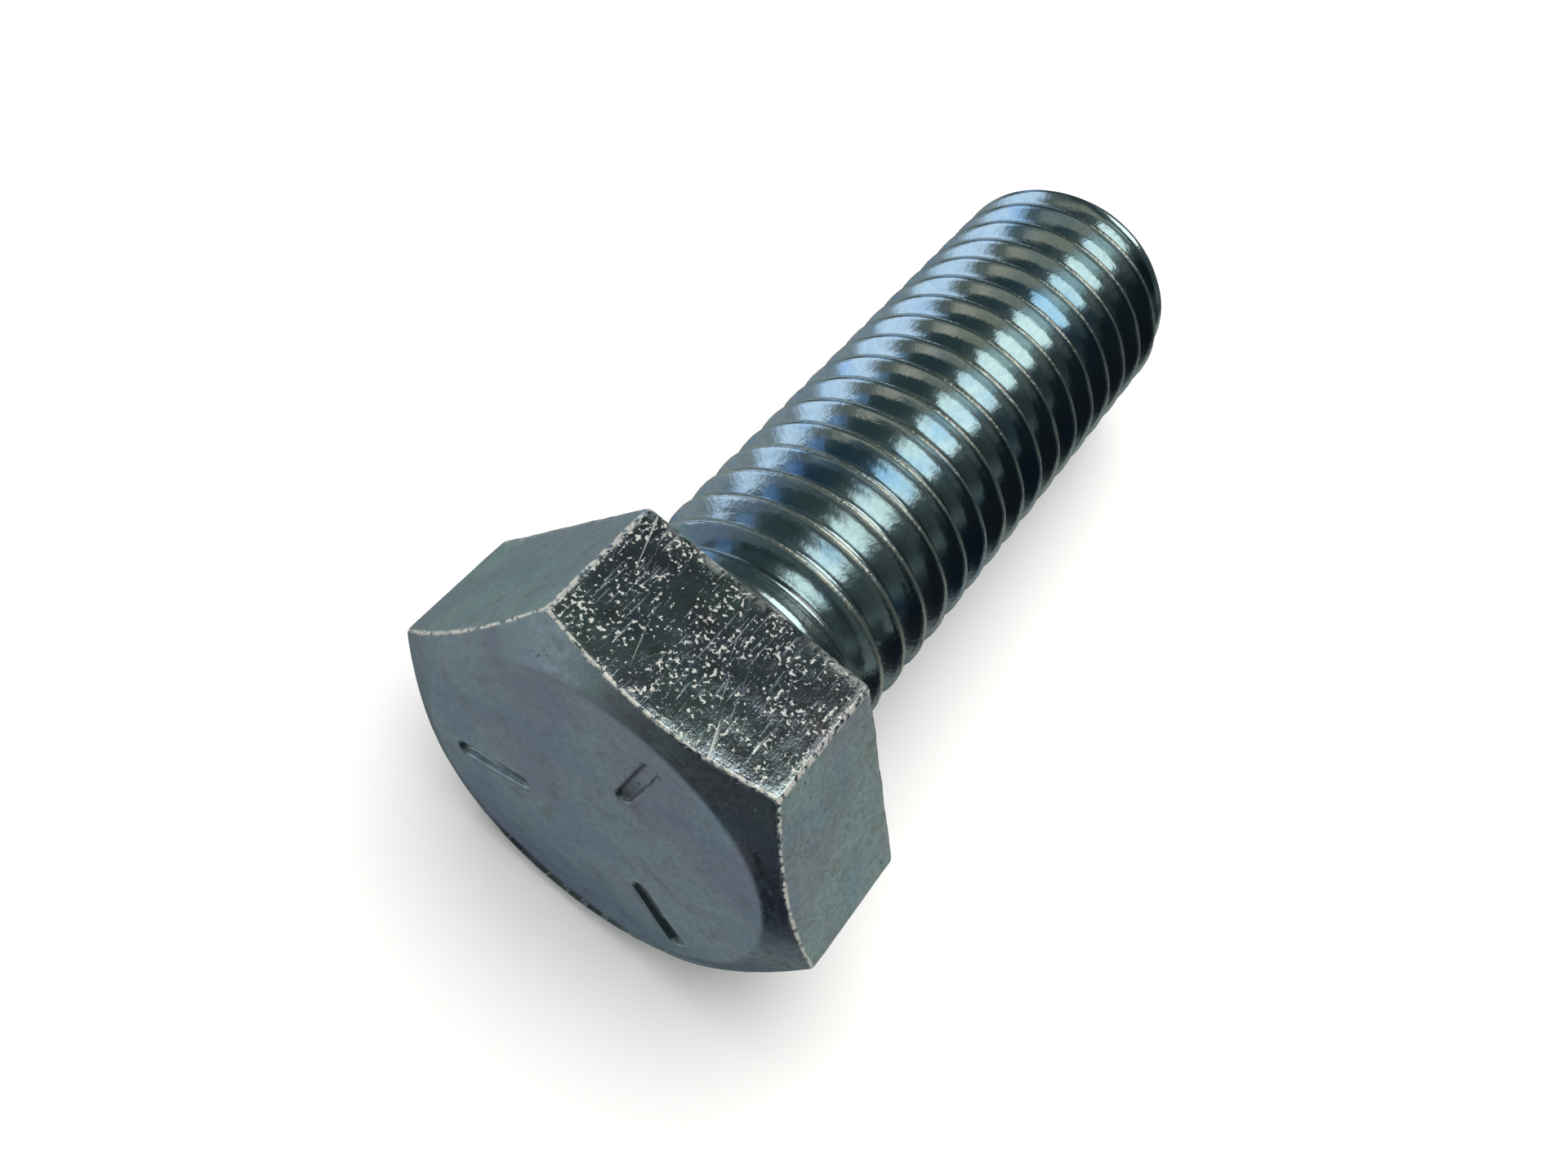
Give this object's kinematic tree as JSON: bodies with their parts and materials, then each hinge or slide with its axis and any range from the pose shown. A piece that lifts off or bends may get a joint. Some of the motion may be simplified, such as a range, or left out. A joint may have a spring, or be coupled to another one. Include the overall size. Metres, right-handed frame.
{
  "type": "hex bolt",
  "caption": "Zinc-plated steel hex bolt with chamfered six-sided head, radial grade dashes, short plain neck and right-hand rolled thread along the shank.",
  "frame": {"origin": "centre of the bearing (washer) face under the head, on the thread axis", "axes": "+X along the thread axis from the head to the point, +Z normal to one flat of the head"},
  "size_m": [0.0533, 0.027, 0.0234],
  "materials": {
    "zinc_plated_steel": "satin clear zinc plating with a slight blue tint"
  },
  "bodies": {
    "root": {"hex_bolt": "zinc_plated_steel"}
  },
  "joints": []
}
